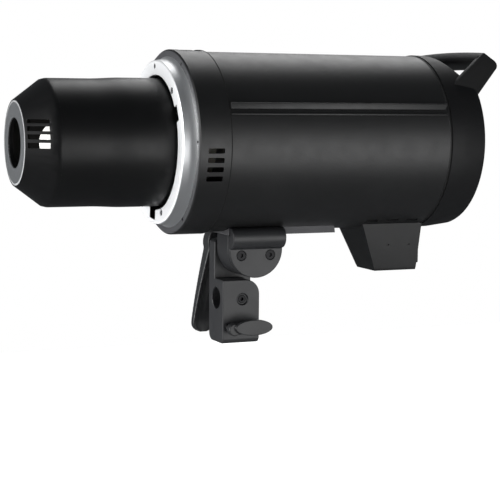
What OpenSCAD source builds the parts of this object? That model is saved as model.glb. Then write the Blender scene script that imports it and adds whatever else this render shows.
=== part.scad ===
// Studio flash head with a three-slot bayonet, a transit cap and a tilting stand bracket.
// Frame: +Z up, the front towards -Y, the operator's left hand side towards +X when the
// head points away from the operator, and the origin at the mouth of the stand socket.

/* [Casing] */
// Height of the optical axis above the stand socket's mouth
axis_h = 149; // [148:0.25:150]
// Outer radius of the main casing
casing_r = 66; // [65.6:0.1:66.2]
// Thickness of the moulded covers
wall = 2.6; // [2.2:0.1:3]
// Outer radius of the front shell
front_r = 67.2; // [66.8:0.1:68]
// Depth of the front shell
front_len = 24.5; // [23:0.5:26]
// Length of the main casing
casing_len = 176.4; // [174:0.2:178]
// Depth of the rear cap
rear_len = 29.6; // [28:0.2:31]
// Radius of the rear cap at its open rim
rear_rim_r = 64; // [63.5:0.1:65]
// Height above the axis at which the two casing halves meet
split_z = 22; // [20:0.5:24]

/* [Bayonet] */
// Radius of the bayonet opening
bayonet_r = 48.7; // [48.5:0.1:49]
// Outer radius of the bayonet ring's front face
ring_face_r = 59.3; // [58.5:0.1:60]
// How far the ring stands in front of the shell
ring_depth = 9.3; // [8.5:0.1:10]
// Angle of the first bayonet slot
slot_angle = 25; // [20:1:30]
// Turn from a bayonet slot to the locked position
lock_turn = 18; // [15:1:22]

/* [Transit cap] */
// Outer radius of the cap's barrel
cap_r = 45.4; // [45:0.1:46]
// Distance from the ring's face to the cap's front face
cap_reach = 103.4; // [100:0.2:106]
// Radius of the hole in the cap's front
cap_hole_r = 17.4; // [16:0.1:19]
// Outer radius of the cap's front face
cap_face_r = 30.6; // [29:0.1:32]
// Depth of the cap's cone
cone_len = 18.9; // [17:0.1:20]

/* [Handle] */
// Width of the handle over its arms
handle_w = 100; // [96:1:102]
// Thickness of each arm
arm_t = 5; // [4:0.5:6]

/* [Stand bracket] */
// Radius of the stand socket
socket_r = 8.05; // [8:0.01:8.2]
// Depth of the stand socket
socket_depth = 23; // [20:0.5:24]
// Half the width of the stand block
block_half = 14.2; // [13.8:0.1:14.6]
// Distance of the tilt axis behind the stand socket
tilt_y = 7.7; // [7.5:0.1:7.9]
// Height of the tilt axis above the socket's mouth
tilt_z = 70.8; // [70.6:0.1:71]
// Radius of the tilting half-disc
disc_r = 21; // [20.5:0.1:21.2]

/* [Hidden] */

$fn = 64;
eps = 0.05;
fit = 0.05;
slide_gap = 0.12;

// Stations along the head, measured on Y
front_y = -54;
seam_y = front_y + front_len;
rear_seam_y = seam_y + casing_len;
rear_y = rear_seam_y + rear_len;
ring_y = front_y - ring_depth;
cap_y = ring_y - cap_reach;
cone_y = cap_y + cone_len;
panel_y = rear_y - 4;
casing_in_r = casing_r - wall;

// Rear cap: the sloping top runs from this height on the rim up to the casing's crown
slope_low_z = 37;
slope_top_y = rear_y - 21;

// Balance rail under the casing
rail_half = 23.6;
rail_top_half = 21.8;
rail_z = -67.3;
rail_front_y = -14;
rail_rear_y = 72;
rail_screw_y = [0, 62];
foot_screw_y = [120, 138];

// Foot housing
foot_rear_y = rear_seam_y - 0.2;
foot_floor_z = 50;

// Stand block
block_front_y = -14.6;
block_rear_y = 14.6;
block_top_z = 47.5;
cheek_x = -2.9;
cross_z = 33;
pin_y = -9.4;
pin_z = 12;
pin_r = 2.9;
bolt_r = 5;
jaw_x0 = 19.9;
jaw_x1 = 23.7;
bulge_r = 8;
bulge_x = 23.2;
bulge_z = -69.4;

// Rear panel layout: [X, height above the axis]
display_at = [0, 19];
button_z = -1.5;
button_x = [-24, -8, 8, 24];
dial_at = [0, -22];
test_at = [-30, -22];
rocker_at = [30, -22];
jack_at = [-17, -46];
sensor_at = [0, -48];
dial_r = 12;

BLACK = "#1c1c1e";
CHARCOAL = "#2b2b2d";
SATIN = "#b9bbbd";
STEEL = "#c8c9cb";
WHITE = "#e9e9e6";

// ---------- placing helpers ----------

// Revolves an outline of [radius, Y] points about the optical axis
module turned(facets = 128)
    translate([0, 0, axis_h]) rotate([-90, 0, 0]) rotate_extrude($fn = facets) children();

// Extrudes an outline of [X, height above the axis] between two stations on Y
module along_y(y0, y1)
    translate([0, y1, axis_h]) rotate([90, 0, 0]) linear_extrude(y1 - y0) children();

// Extrudes an outline of [Y, Z] points between two stations on X
module along_x(x0, x1)
    translate([x0, 0, 0]) rotate([90, 0, 90]) linear_extrude(x1 - x0) children();

// A round peg along Y, placed by X and its height above the axis
module peg_y(y0, y1, at, r)
    translate([at[0], y0, axis_h + at[1]]) rotate([-90, 0, 0]) cylinder(r = r, h = y1 - y0);

// A round peg along X, placed by Y and Z
module peg_x(x0, x1, at, r)
    translate([x0, at[0], at[1]]) rotate([0, 90, 0]) cylinder(r = r, h = x1 - x0);

// A box between two corners
module block(low, high) translate(low) cube(high - low);

// A flat outline with rounded corners, centred
module rounded(w, h, r) {
    square([w - 2 * r, h], center = true);
    square([w, h - 2 * r], center = true);
    for (sx = [-1, 1], sy = [-1, 1])
        translate([sx * (w / 2 - r), sy * (h / 2 - r)]) circle(r = r, $fn = 24);
}

// Points of an arc about a centre
function arc(c, r, a0, a1, n = 12) =
    [for (i = [0 : n]) let (a = a0 + (a1 - a0) * i / n) [c[0] + r * cos(a), c[1] + r * sin(a)]];

// A socket-head screw along -Z, its head's top at the origin
module socket_screw(head_r, head_h, shank_r, len) {
    difference() {
        translate([0, 0, -head_h]) cylinder(r = head_r, h = head_h, $fn = 32);
        translate([0, 0, -head_h * 0.6]) cylinder(r = head_r * 0.5, h = head_h, $fn = 6);
    }
    translate([0, 0, -head_h - len]) cylinder(r = shank_r, h = len + eps, $fn = 24);
}

// A screw whose head faces the front
module front_screw(at, y, head_r, head_h, shank_r, len)
    translate([at[0], y, axis_h + at[1]]) rotate([90, 0, 0])
        socket_screw(head_r, head_h, shank_r, len);

// A screw whose head faces the rear
module rear_screw(at, y, head_r, head_h, shank_r, len)
    translate([at[0], y, axis_h + at[1]]) rotate([-90, 0, 0])
        socket_screw(head_r, head_h, shank_r, len);

function polar(r, a) = [r * cos(a), r * sin(a)];

// ---------- front shell and bayonet ----------

louvre_len = 12.2;
louvre_h = 3.6;
louvre_pitch = 6.5;
louvre_z = -4;
louvre_y = -41.3;

ring_screw_r = 51.8;
lock_pin_z = 55;

module louvres() {
    for (side = [-1, 1], i = [0 : 3])
        translate([side * 62, louvre_y, axis_h + louvre_z - i * louvre_pitch])
            rotate([90, 0, 90]) linear_extrude(16, center = true)
                rounded(louvre_len, louvre_h, 0.9);
}

release_half = 13;
release_y0 = -47.5;
release_y1 = -31.5;

module front_shell() color(BLACK) {
    block([-5, release_y1 + 0.1, axis_h + 55.4], [5, release_y1 + 1.9, axis_h + 62.5]);
    front_shell_wall();
}

module front_shell_wall() difference() {
    turned() polygon([
        [bayonet_r + 0.3, front_y], [front_r - 1.2, front_y], [front_r, front_y + 1.2],
        [front_r, seam_y], [casing_in_r - 0.1, seam_y], [casing_in_r - 0.1, seam_y + 6.5],
        [casing_in_r - 2.1, seam_y + 6.5], [casing_in_r - 2.1, seam_y - 3.5],
        [front_r - wall, seam_y - 6], [front_r - wall, front_y + 3],
        [bayonet_r + 0.3, front_y + 3]
    ]);
    louvres();
    for (a = [2 : 60 : 302])
        translate([0, 0, axis_h]) rotate([0, -a, 0])
            block([61.6, front_y - 1, -0.8], [64.4, front_y + 1.2, 0.8]);
    block([-release_half, release_y0, axis_h + 55], [release_half, release_y1, axis_h + 70]);
    for (i = [0 : 2]) peg_y(front_y - 1, front_y + 4, polar(ring_screw_r, 46 + 120 * i), 1.3);
    peg_y(front_y - 1, front_y + 4, [0, lock_pin_z], 1.9);
}

module bayonet_ring() color(SATIN) difference() {
    union() {
        turned() polygon([
            [bayonet_r, ring_y + 0.5], [bayonet_r + 0.5, ring_y],
            [ring_face_r - 1, ring_y], [ring_face_r, ring_y + 0.8],
            [ring_face_r + 0.5, ring_y + 4.5], [ring_face_r + 1.2, ring_y + 7.2],
            [ring_face_r + 2.7, front_y - eps], [53.4, front_y - eps],
            [53.4, ring_y + 3.8], [bayonet_r, ring_y + 3.8]
        ]);
        for (i = [0 : 2])
            translate([0, 0, axis_h]) rotate([0, -(46 + 120 * i), 0])
                block([bayonet_r + 0.3, ring_y + 3.7, -3], [53.6, front_y - eps, 3]);
    }
    for (i = [0 : 2])
        translate([0, 0, axis_h]) rotate([0, -(slot_angle + 120 * i), 0])
            block([45, ring_y - 1, -6], [i == 2 ? 56 : 53.4, ring_y + 6, 6]);
    for (i = [0 : 2]) {
        peg_y(ring_y - 1, front_y + 1, polar(ring_screw_r, 46 + 120 * i), 1.3);
        peg_y(ring_y - 1, ring_y + 1.6, polar(ring_screw_r, 46 + 120 * i), 2.5);
    }
    peg_y(ring_y - 1, front_y + 1, [0, lock_pin_z], 1.9);
}

module bayonet_screws() color(STEEL)
    for (i = [0 : 2])
        front_screw(polar(ring_screw_r, 46 + 120 * i), ring_y + 0.3, 2.3, 1.2, 1.2, 10.5);

// ---------- light source ----------

tube_y = -92;
tube_ring_r = 22;
tube_leg_at = [for (s = [-1, 1]) polar(tube_ring_r, -90 + s * 16)];

module reflector_pan() color(WHITE) difference() {
    turned() polygon([
        [14, -40], [46, -50.8], [60, -50.8], [60, -49.2], [46.4, -49.2], [14, -38.4]
    ]);
    for (p = tube_leg_at) peg_y(-60, -30, p, 3.6);
    peg_y(-60, -45, [0, lock_pin_z], 2.3);
}

module flash_tube() color("#dfe3e6") {
    difference() {
        translate([0, tube_y, axis_h]) rotate([90, 0, 0]) rotate_extrude($fn = 64)
            translate([tube_ring_r, 0]) circle(r = 4, $fn = 24);
        block([-2.2, tube_y - 6, axis_h - 30], [2.2, tube_y + 6, axis_h - 16]);
    }
    for (p = tube_leg_at) peg_y(tube_y, -32, p, 3);
}

module tube_base() color(WHITE) difference() {
    peg_y(-37.8, -26, [0, 0], 28.5);
    peg_y(-38, -25, [0, 0], 14.2);
    for (p = tube_leg_at) peg_y(-38, -25, p, 3.05);
}

module lamp_socket() color("#d8d4cc") difference() {
    peg_y(-52, -26, [0, 0], 13.8);
    peg_y(-53, -32, [0, 0], 12.6);
}

lamp_r = 16;
lamp_tip_y = -148.4;

module modelling_lamp() color("#f0ece0") turned(64) polygon(concat(
    [[0, -32.2], [9, -32.2], [12.4, -33], [12.4, -55], [14.4, -60], [lamp_r, -66]],
    [for (p = arc([0, lamp_tip_y + lamp_r], lamp_r, 0, -90, 14)) [max(p[0], 0), p[1]]]
));

// ---------- casing ----------

bead_z0 = split_z + 2.9;
bead_z1 = split_z + 7.3;
bead_rear_gap = 7;

casing_screw_x = 54;
casing_screw_y = [10, 110];

// Bosses inside the casing that the closing screws run through
module screw_bosses(z0, z1) difference() {
    for (s = [-1, 1], y = casing_screw_y)
        along_y(y - 4, y + 4) intersection() {
            circle(r = casing_in_r + 1, $fn = 128);
            translate([s > 0 ? 50 : -64, z0]) square([14, z1 - z0]);
        }
    for (s = [-1, 1], y = casing_screw_y)
        translate([s * casing_screw_x, y, axis_h - 10]) cylinder(r = 1.5, h = 60, $fn = 24);
}

module ring2d(r, t) difference() {
    circle(r = r, $fn = 128);
    circle(r = r - t, $fn = 128);
}

module upper_casing() color(CHARCOAL) {
    along_y(seam_y + eps, rear_seam_y - eps) intersection() {
        ring2d(casing_r, wall);
        translate([-80, split_z + 0.1]) square([160, 60]);
    }
    screw_bosses(split_z + 0.1, 32);
    for (s = [-1, 1])
        intersection() {
            along_y(seam_y + eps, rear_seam_y - bead_rear_gap) intersection() {
                ring2d(casing_r + 1.1, 2);
                translate([s > 0 ? 0 : -80, bead_z0]) square([80, bead_z1 - bead_z0]);
            }
            along_x(-80, 80) polygon([
                [seam_y, axis_h], [rear_seam_y - 2, axis_h],
                [rear_seam_y - 14, axis_h + 60], [seam_y, axis_h + 60]
            ]);
        }
}

vent_stations = [99.8, 117, 134.2];

module lower_casing() color(CHARCOAL) difference() {
    union() {
        along_y(seam_y + eps, rear_seam_y - eps) intersection() {
            ring2d(casing_r, wall);
            translate([-80, -80]) square([160, 80 + split_z]);
        }
        screw_bosses(9, split_z);
        for (s = [-1, 1])
            along_y(seam_y + eps, rear_seam_y - 2.5) intersection() {
                ring2d(casing_r + 0.5, 2);
                translate([s > 0 ? 0 : -80, split_z - 1.6]) square([80, 1.6]);
            }
    }
    for (s = [-1, 1], y = vent_stations)
        translate([0, y, axis_h]) rotate([0, s > 0 ? 62.8 : 117.2, 0])
            block([casing_r - 5, -5, -1.5], [casing_r + 3, 5, 1.5]);
    for (s = [-1, 1], y = rail_screw_y)
        translate([s * 13, y, axis_h - casing_r - 1]) cylinder(r = 1.7, h = 8, $fn = 24);
    for (s = [-1, 1], y = foot_screw_y)
        translate([s * 17, y, axis_h - casing_r - 1]) cylinder(r = 1.4, h = 8, $fn = 24);
}

module casing_screws() color(STEEL)
    for (s = [-1, 1], y = casing_screw_y)
        translate([s * casing_screw_x, y, axis_h + 10]) cylinder(r = 1.45, h = 21, $fn = 24);

// ---------- rear cap, panel and controls ----------

module rear_outline(inset) polygon([
    [rear_seam_y, axis_h - 75], [rear_y + (inset > 0 ? 1 : 0), axis_h - 75],
    [rear_y + (inset > 0 ? 1 : 0), axis_h + slope_low_z - (inset > 0 ? 6.1 : 0)],
    [slope_top_y - inset * 0.82, axis_h + 67.2 - inset * 0.57],
    [rear_seam_y, axis_h + 67.2 - inset * 0.57]
]);

module rear_cap() color(CHARCOAL) {
    rear_cap_wall();
    panel_seat();
}

module rear_cap_wall() difference() {
    intersection() {
        turned() polygon([
            [0, rear_seam_y + eps], [casing_r + 0.8, rear_seam_y + eps],
            [casing_r + 0.6, rear_seam_y + 12], [rear_rim_r + 0.7, rear_y - 1.4],
            [rear_rim_r, rear_y], [0, rear_y]
        ]);
        along_x(-75, 75) rear_outline(0);
    }
    intersection() {
        turned() polygon([
            [0, rear_seam_y], [casing_in_r + 0.6, rear_seam_y],
            [casing_in_r + 0.4, rear_seam_y + 12], [rear_rim_r - 2.4, panel_y - 2.2],
            [rear_rim_r - 2.4, rear_y + 1], [0, rear_y + 1]
        ]);
        along_x(-75, 75) rear_outline(wall);
    }
    for (s = [-1, 1]) arm(s);
}

// The seat inside the rear cap that the panel is screwed to
module panel_seat() difference() {
    intersection() {
        turned() polygon([
            [56, panel_y - 5], [64.4, panel_y - 5], [63.8, panel_y - 2.05], [56, panel_y - 2.05]
        ]);
        along_x(-75, 75) rear_outline(1);
    }
    for (s = [-1, 1]) arm(s);
    for (a = panel_screw_angles) peg_y(panel_y - 6, panel_y, polar(58.5, a), 1.3);
}

panel_screw_angles = [28, 152, 220, 320];

module rear_cap_screws() color(STEEL)
    for (a = panel_screw_angles) rear_screw(polar(58.5, a), panel_y + 1.3, 2.2, 1.2, 1.25, 4.6);

module panel_outline(r, top) intersection() {
    circle(r = r, $fn = 128);
    translate([-80, -80]) square([160, 80 + top]);
}

module rear_panel() color(BLACK) difference() {
    along_y(panel_y - 2, panel_y) panel_outline(rear_rim_r - 2.5, 37.6);
    for (s = [-1, 1]) arm(s);
    along_y(panel_y - 3, panel_y + 1) {
        translate(display_at) square([50, 19], center = true);
        for (x = button_x) translate([x, button_z]) square([11, 6], center = true);
        translate(dial_at) circle(r = 4.2);
        translate(test_at) circle(r = 5.3);
        translate(rocker_at) square([13.4, 19.4], center = true);
        translate(jack_at) circle(r = 5.05);
        translate(sensor_at) circle(r = 5.05);
        for (a = panel_screw_angles) translate(polar(58.5, a)) circle(r = 1.35, $fn = 24);
    }
}

module display_window() color("#24303a")
    along_y(panel_y - 1.9, panel_y + 0.4) translate(display_at) rounded(49.8, 18.8, 1.4);

module menu_button(i) color("#4a4b4e") {
    along_y(panel_y - 2.2, panel_y + 1.6) translate([button_x[i], button_z]) rounded(10.7, 5.7, 1.2);
    along_y(panel_y - 3.1, panel_y - 2.1) translate([button_x[i], button_z]) rounded(13, 8, 1);
}

module control_dial() color("#3a3b3d") {
    difference() {
        peg_y(panel_y + 0.6, panel_y + 11, dial_at, dial_r);
        for (k = [0 : 23])
            peg_y(panel_y, panel_y + 12, dial_at + polar(dial_r + 0.5, k * 15), 0.95);
    }
    peg_y(panel_y - 6.5, panel_y + 1, dial_at, 4.15);
}

module test_button() color("#c63a2c") {
    peg_y(panel_y - 2.2, panel_y + 1.8, test_at, 5.1);
    peg_y(panel_y - 3.1, panel_y - 2.1, test_at, 6.2);
}

rocker_pivot_y = panel_y - 2.6;

module power_rocker() color("#232325") difference() {
    rocker_cap();
    peg_x(rocker_at[0] - 8, rocker_at[0] + 8, [rocker_pivot_y, axis_h + rocker_at[1]], 1.25);
}

module rocker_housing() color("#3a3a3c") {
    difference() {
        along_y(panel_y - 14, panel_y - 2.05) translate(rocker_at) square([17, 23], center = true);
        along_y(panel_y - 9, panel_y) translate(rocker_at) square([13.4, 19.6], center = true);
    }
    peg_x(rocker_at[0] - 6.75, rocker_at[0] + 6.75, [rocker_pivot_y, axis_h + rocker_at[1]], 1.2);
}

module rocker_cap()
    along_x(rocker_at[0] - 6.5, rocker_at[0] + 6.5) polygon([
        [rocker_pivot_y - 3, axis_h + rocker_at[1] - 5],
        [rocker_pivot_y + 2.2, axis_h + rocker_at[1] - 8.8],
        [rocker_pivot_y + 5.4, axis_h + rocker_at[1] - 8.3],
        [rocker_pivot_y + 3.4, axis_h + rocker_at[1]],
        [rocker_pivot_y + 3.4, axis_h + rocker_at[1] + 9],
        [rocker_pivot_y - 0.6, axis_h + rocker_at[1] + 9],
        [rocker_pivot_y - 3, axis_h + rocker_at[1] + 5]
    ]);

jack_r = 3.25;

module sync_jack() color(STEEL) difference() {
    union() {
        peg_y(panel_y - 20, panel_y + 0.9, jack_at, 5);
        peg_y(panel_y + eps, panel_y + 2.4, jack_at, 6.4);
    }
    peg_y(panel_y - 17, panel_y + 3, jack_at, jack_r);
}

module slave_sensor_dome() color("#8a1f1a") {
    peg_y(panel_y - 3, panel_y + 0.6, sensor_at, 5);
    intersection() {
        translate([sensor_at[0], panel_y, axis_h + sensor_at[1]]) sphere(r = 6, $fn = 40);
        along_y(panel_y + eps, panel_y + 7) translate(sensor_at) circle(r = 6);
    }
}

// ---------- handle ----------

arm_outline = [
    [182.3, 217.4], [192.2, 211.2], [193.8, 209.4], [194.4, 207.4], [193.9, 205.6],
    [178.4, 185.9], [170, 174.8], [153, 189.9], [162.5, 198.8]
];
grip_outline = [
    [182.3, 217.4], [192.2, 211.2], [193.8, 209.4], [194.4, 207.4], [193.9, 205.6],
    [191.9, 203.3], [188.4, 203.6], [177.2, 210.4], [176.6, 212.1]
];

module arm(side) {
    x = side > 0 ? handle_w / 2 - arm_t : -handle_w / 2;
    along_x(x, x + arm_t) polygon(arm_outline);
}

module handle() color(CHARCOAL) {
    for (s = [-1, 1]) arm(s);
    along_x(-handle_w / 2 + eps, handle_w / 2 - eps) polygon(grip_outline);
}

module handle_screws() color(STEEL)
    for (s = [-1, 1], p = [[159.6, 187.3], [164.2, 183.3]])
        translate([s * (handle_w / 2 - arm_t), p[0], p[1]]) rotate([0, -s * 90, 0])
            cylinder(r = 2.6, h = 2, $fn = 24);

// ---------- inside ----------

module chassis_plate() color(SATIN) {
    block([-50, -24.5, axis_h - 32], [50, 156, axis_h - 30]);
    difference() {
        peg_y(-25.95, -24, [0, 0], casing_in_r - 2.3);
        peg_y(-27, -23, [0, 0], 9);
    }
}

module trigger_coil() color("#7d5a2a") block([-43, -23.95, axis_h + 18], [-27, -12, axis_h + 32]);

module capacitor_bank() color("#20262c")
    for (x = [-37, 0, 37]) peg_y(-12, 88, [x, -12], 17.6);

module capacitor_strap() color(SATIN) {
    block([-54, 34, axis_h + 6], [54, 46, axis_h + 7.4]);
    for (x = [-19, 18]) block([x, 34, axis_h - 29.95], [x + 1, 46, axis_h + 6.1]);
}

module power_board() color("#1f5a3a") {
    block([-42, -16, axis_h - 40], [42, 82, axis_h - 38.4]);
    for (x = [-36, 36], y = [-10, 76])
        translate([x, y, axis_h - 38.5]) cylinder(r = 2, h = 6.45, $fn = 24);
}

module transformer() color("#7d5a2a") {
    block([-20, 94, axis_h - 29.8], [20, 116, axis_h + 4]);
    block([-13, 88.5, axis_h - 24], [13, 121.5, axis_h - 2]);
}

module heat_sink() color(SATIN) {
    block([-34, -6, axis_h + 7.45], [34, 80, axis_h + 10.5]);
    for (k = [-4 : 4]) block([k * 7.5 - 0.8, -6, axis_h + 10.4], [k * 7.5 + 0.8, 80, axis_h + 30]);
}

module control_board() color("#1f5a3a") {
    difference() {
        along_y(panel_y - 10.5, panel_y - 8.9) panel_outline(55, 24);
        along_y(panel_y - 12, panel_y) {
            translate(jack_at) circle(r = 5.4);
            translate(rocker_at) square([17.4, 23.4], center = true);
        }
    }
    for (p = [[-40, 12], [40, 12], [14, -44]]) peg_y(panel_y - 9, panel_y - 2.05, p, 2);
}

fan_at = [0, 20];
fan_y0 = 126;
fan_y1 = 141;

module fan_frame() color(BLACK) {
    difference() {
        along_y(fan_y0, fan_y1) translate(fan_at) rounded(60, 60, 3);
        peg_y(fan_y0 - 1, fan_y1 + 1, fan_at, 28);
    }
    difference() {
        along_y(fan_y0, fan_y0 + 1.4) translate(fan_at) union() {
            circle(r = 10);
            for (a = [0 : 90 : 270]) rotate(a) translate([9, -1.5]) square([20, 3]);
        }
        peg_y(fan_y0 - 1, fan_y0 + 3, fan_at, 1.45);
    }
    for (x = [-29, 24]) block([x, fan_y0, axis_h - 29.95], [x + 5, fan_y1, axis_h - 9]);
}

module fan_rotor() color("#333335") {
    peg_y(fan_y0 + 2, fan_y1 - 1, fan_at, 11);
    peg_y(fan_y0 + 0.1, fan_y0 + 2.2, fan_at, 1.4);
    for (a = [0 : 51.43 : 330])
        translate([fan_at[0], (fan_y0 + fan_y1) / 2 + 0.6, axis_h + fan_at[1]])
            rotate([0, a, 0]) translate([18.5, 0, 0]) rotate([38, 0, 0])
                cube([16.4, 1.2, 15], center = true);
}

// ---------- balance rail and foot ----------

module rail_section(grow) polygon([
    [-rail_half - grow, rail_z - grow], [rail_half + grow, rail_z - grow],
    [rail_top_half + grow, rail_z + 6.5], [-rail_top_half - grow, rail_z + 6.5]
]);

module balance_rail() color("#77787b") difference() {
    along_y(rail_front_y, rail_rear_y) difference() {
        rail_section(0);
        circle(r = casing_r + eps, $fn = 128);
    }
    for (s = [-1, 1], y = rail_screw_y)
        translate([s * 13, y, axis_h + rail_z - 1]) {
            cylinder(r = 1.7, h = 6, $fn = 24);
            cylinder(r = 3.1, h = 2.2, $fn = 32);
        }
}

module rail_screws() color(STEEL)
    for (s = [-1, 1], y = rail_screw_y)
        translate([s * 13, y, axis_h + rail_z + 0.1]) {
            cylinder(r = 2.9, h = 1, $fn = 32);
            cylinder(r = 1.6, h = 7, $fn = 24);
        }

module foot_solid(inset) hull() {
    block([-24 + inset, 94 + inset, axis_h - 58], [24 - inset, foot_rear_y - inset, axis_h - 57]);
    block([-14.5 + inset, 111 + inset * 0.8, foot_floor_z + inset * 0.9],
          [14.5 - inset, foot_rear_y - inset, foot_floor_z + inset * 0.9 + 0.5]);
    block([-15.6 + inset, 110 + inset * 0.8, foot_floor_z + 2.5],
          [15.6 - inset, foot_rear_y - inset, foot_floor_z + 3]);
}

inlet_z = -82.6;

module foot_housing() color(BLACK) difference() {
    union() {
        difference() {
            foot_solid(0);
            foot_solid(2.4);
        }
        for (s = [-1, 1], y = foot_screw_y)
            translate([s * 17, y, 76]) cylinder(r = 3.5, h = 12, $fn = 32);
    }
    along_y(80, 150) circle(r = casing_r + eps, $fn = 128);
    for (s = [-1, 1], y = foot_screw_y) {
        translate([s * 17, y, 70]) cylinder(r = 1.4, h = 30, $fn = 24);
        translate([s * 17, y, 70]) cylinder(r = 2.6, h = 6, $fn = 24);
    }
    along_y(foot_rear_y - 6, foot_rear_y + 1) translate([0, inlet_z]) square([27.2, 19.6], center = true);
}

module foot_screws() color(STEEL)
    for (s = [-1, 1], y = foot_screw_y)
        translate([s * 17, y, 74.5]) {
            cylinder(r = 2.5, h = 1.5, $fn = 24);
            cylinder(r = 1.3, h = 14, $fn = 24);
        }

module ac_inlet() color("#111112") difference() {
    union() {
        along_y(foot_rear_y - 22, foot_rear_y + eps) translate([0, inlet_z]) square([27, 19.4], center = true);
        along_y(foot_rear_y + eps, foot_rear_y + 2) translate([0, inlet_z]) rounded(30.4, 22.6, 1.5);
    }
    along_y(foot_rear_y - 17, foot_rear_y + 3) translate([0, inlet_z + 4.4]) polygon([
        [-11.8, 4.2], [-11.8, -4.6], [-8.8, -7.6], [8.8, -7.6], [11.8, -4.6], [11.8, 4.2]
    ]);
    fuse_space(0.15);
}

fuse_z = inlet_z - 6.4;

module fuse_space(grow)
    along_y(foot_rear_y - 15 - grow, foot_rear_y + 2 + (grow > 0 ? 1 : 0))
        translate([0, fuse_z]) square([22 + 2 * grow, 3 + 2 * grow], center = true);

module fuse_drawer() color("#2e2e30") {
    fuse_space(0);
    along_y(foot_rear_y + 2.2, foot_rear_y + 3.4) translate([0, fuse_z]) rounded(24, 4.6, 0.8);
    along_y(foot_rear_y + 1.9, foot_rear_y + 2.3) translate([0, fuse_z]) square([20, 2.6], center = true);
}

// ---------- bayonet release ----------

module release_slider() color("#2a2a2c") {
    difference() {
        intersection() {
            turned() polygon([
                [front_r - wall + 0.2, release_y0 + 0.6], [front_r - 0.2, release_y0 + 0.6],
                [front_r - 0.2, release_y1 - 5.4], [front_r - wall + 0.2, release_y1 - 5.4]
            ]);
            block([-12.4, -60, axis_h + 50], [12.4, 0, axis_h + 80]);
        }
        for (k = [0 : 3])
            translate([-10, release_y0 + 2.4 + k * 2.2, axis_h + front_r - 0.9]) cube([20, 1, 3]);
    }
    block([-3, release_y0 + 3, axis_h + 53], [3, release_y0 + 6, axis_h + front_r - 1.6]);
    peg_y(ring_y + 0.4, release_y0 + 3.1, [0, lock_pin_z], 1.7);
}

module release_spring() color(STEEL) difference() {
    peg_y(release_y0 + 6.1, release_y1 + 0.05, [0, 58.4], 1.9);
    peg_y(release_y0 + 5, release_y1 + 1, [0, 58.4], 1.2);
}

// ---------- transit cap ----------

cap_t = 2;
cap_rear_y = front_y + 1.4;
lug_y0 = ring_y + 4.1;
lug_y1 = front_y - 0.5;

// The slots in the near and far flanks of the cone: [low, high] above the axis
cone_slots = [[14.3, 17], [9, 12.3], [3.4, 6.8], [-2.7, 1.1]];

module cap_shell() color(BLACK) {
    difference() {
        turned() polygon([
            [cap_hole_r, cap_y + 0.5], [cap_face_r - 1.6, cap_y + 0.5], [cap_face_r - 1.6, cap_y + 0.1],
            [cap_face_r, cap_y + 0.1], [cap_r - 0.7, cone_y], [cap_r, cone_y + 3],
            [cap_r, -96], [cap_r + 0.9, -88], [cap_r + 0.9, -66], [cap_r + 0.2, cap_rear_y],
            [cap_r - 2.2, cap_rear_y], [cap_r - cap_t, -66], [cap_r - cap_t, cone_y + 3],
            [cap_face_r - cap_t + 0.4, cap_y + 3.2], [cap_hole_r, cap_y + 3.2]
        ]);
        for (z = cone_slots)
            block([24, cap_y + 1.6, axis_h + z[0]], [50, cone_y - 3.5, axis_h + z[1]]);
    }
    for (i = [0 : 2])
        intersection() {
            turned() polygon([
                [cap_r - 1, lug_y0], [53, lug_y0], [53, lug_y1], [cap_r - 1, lug_y1]
            ]);
            translate([0, 0, axis_h]) rotate([0, -(slot_angle - lock_turn + 120 * i), 0])
                block([40, -70, -5.4], [60, -40, 5.4]);
        }
}

module cap_face_ring() color("#8b8c8e") turned() polygon([
    [cap_hole_r + 0.2, cap_y], [cap_face_r - 1.9, cap_y],
    [cap_face_r - 1.9, cap_y + 0.45], [cap_hole_r + 0.2, cap_y + 0.45]
]);

// ---------- stand bracket ----------

tilt_at = [tilt_y, tilt_z];

module disc_outline() {
    translate(tilt_at) circle(r = disc_r, $fn = 96);
    translate([tilt_y - disc_r, tilt_z]) square([2 * disc_r, 22]);
}

lug_y = tilt_y + 8.5;
lug_z = 78.6;
jaw_screw_at = [[-4, 66.6], [19, 66.6]];

module hook(side, y0, y1) along_y(y0, y1) difference() {
    intersection() {
        translate([side * bulge_x, bulge_z]) circle(r = bulge_r, $fn = 64);
        translate([side > 0 ? jaw_x0 : -60, bulge_z - 20]) square([60 - jaw_x0, 40]);
    }
    rail_section(slide_gap);
    circle(r = casing_r + 0.4, $fn = 128);
}

module tilt_quadrant() color("#48494b") difference() {
    union() {
        along_x(-1.9, jaw_x0 - eps) intersection() {
            disc_outline();
            translate([-40, 0]) square([90, axis_h + rail_z - slide_gap]);
        }
        block([-30, lug_y, lug_z], [-1.8, tilt_y + disc_r, axis_h + rail_z - slide_gap]);
        hook(-1, lug_y, tilt_y + disc_r);
    }
    peg_x(-4, 22, tilt_at, bolt_r + fit);
    peg_x(11.9, 22, tilt_at, 8.3);
    for (p = jaw_screw_at) peg_x(8, 22, p, 2.1);
}

module jaw_plate() color("#505153") difference() {
    union() {
        along_x(jaw_x0, jaw_x1) intersection() {
            disc_outline();
            translate([-40, 0]) square([90, axis_h + bulge_z - 3]);
        }
        hook(1, tilt_y - disc_r, tilt_y + disc_r);
        along_y(tilt_y - disc_r, tilt_y + disc_r) difference() {
            translate([jaw_x0, bulge_z - 6]) square([jaw_x1 - jaw_x0, 6]);
            rail_section(slide_gap);
        }
    }
    for (p = jaw_screw_at) {
        peg_x(jaw_x0 - 1, jaw_x1 + 1, p, 2.1);
        peg_x(jaw_x1 - 3, jaw_x1 + 10, p, 3.5);
    }
}

module jaw_screws() color("#2a2a2b")
    for (p = jaw_screw_at)
        translate([jaw_x1 - 0.5, p[0], p[1]]) rotate([0, 90, 0]) socket_screw(3.3, 2.4, 2, 12);

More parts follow.
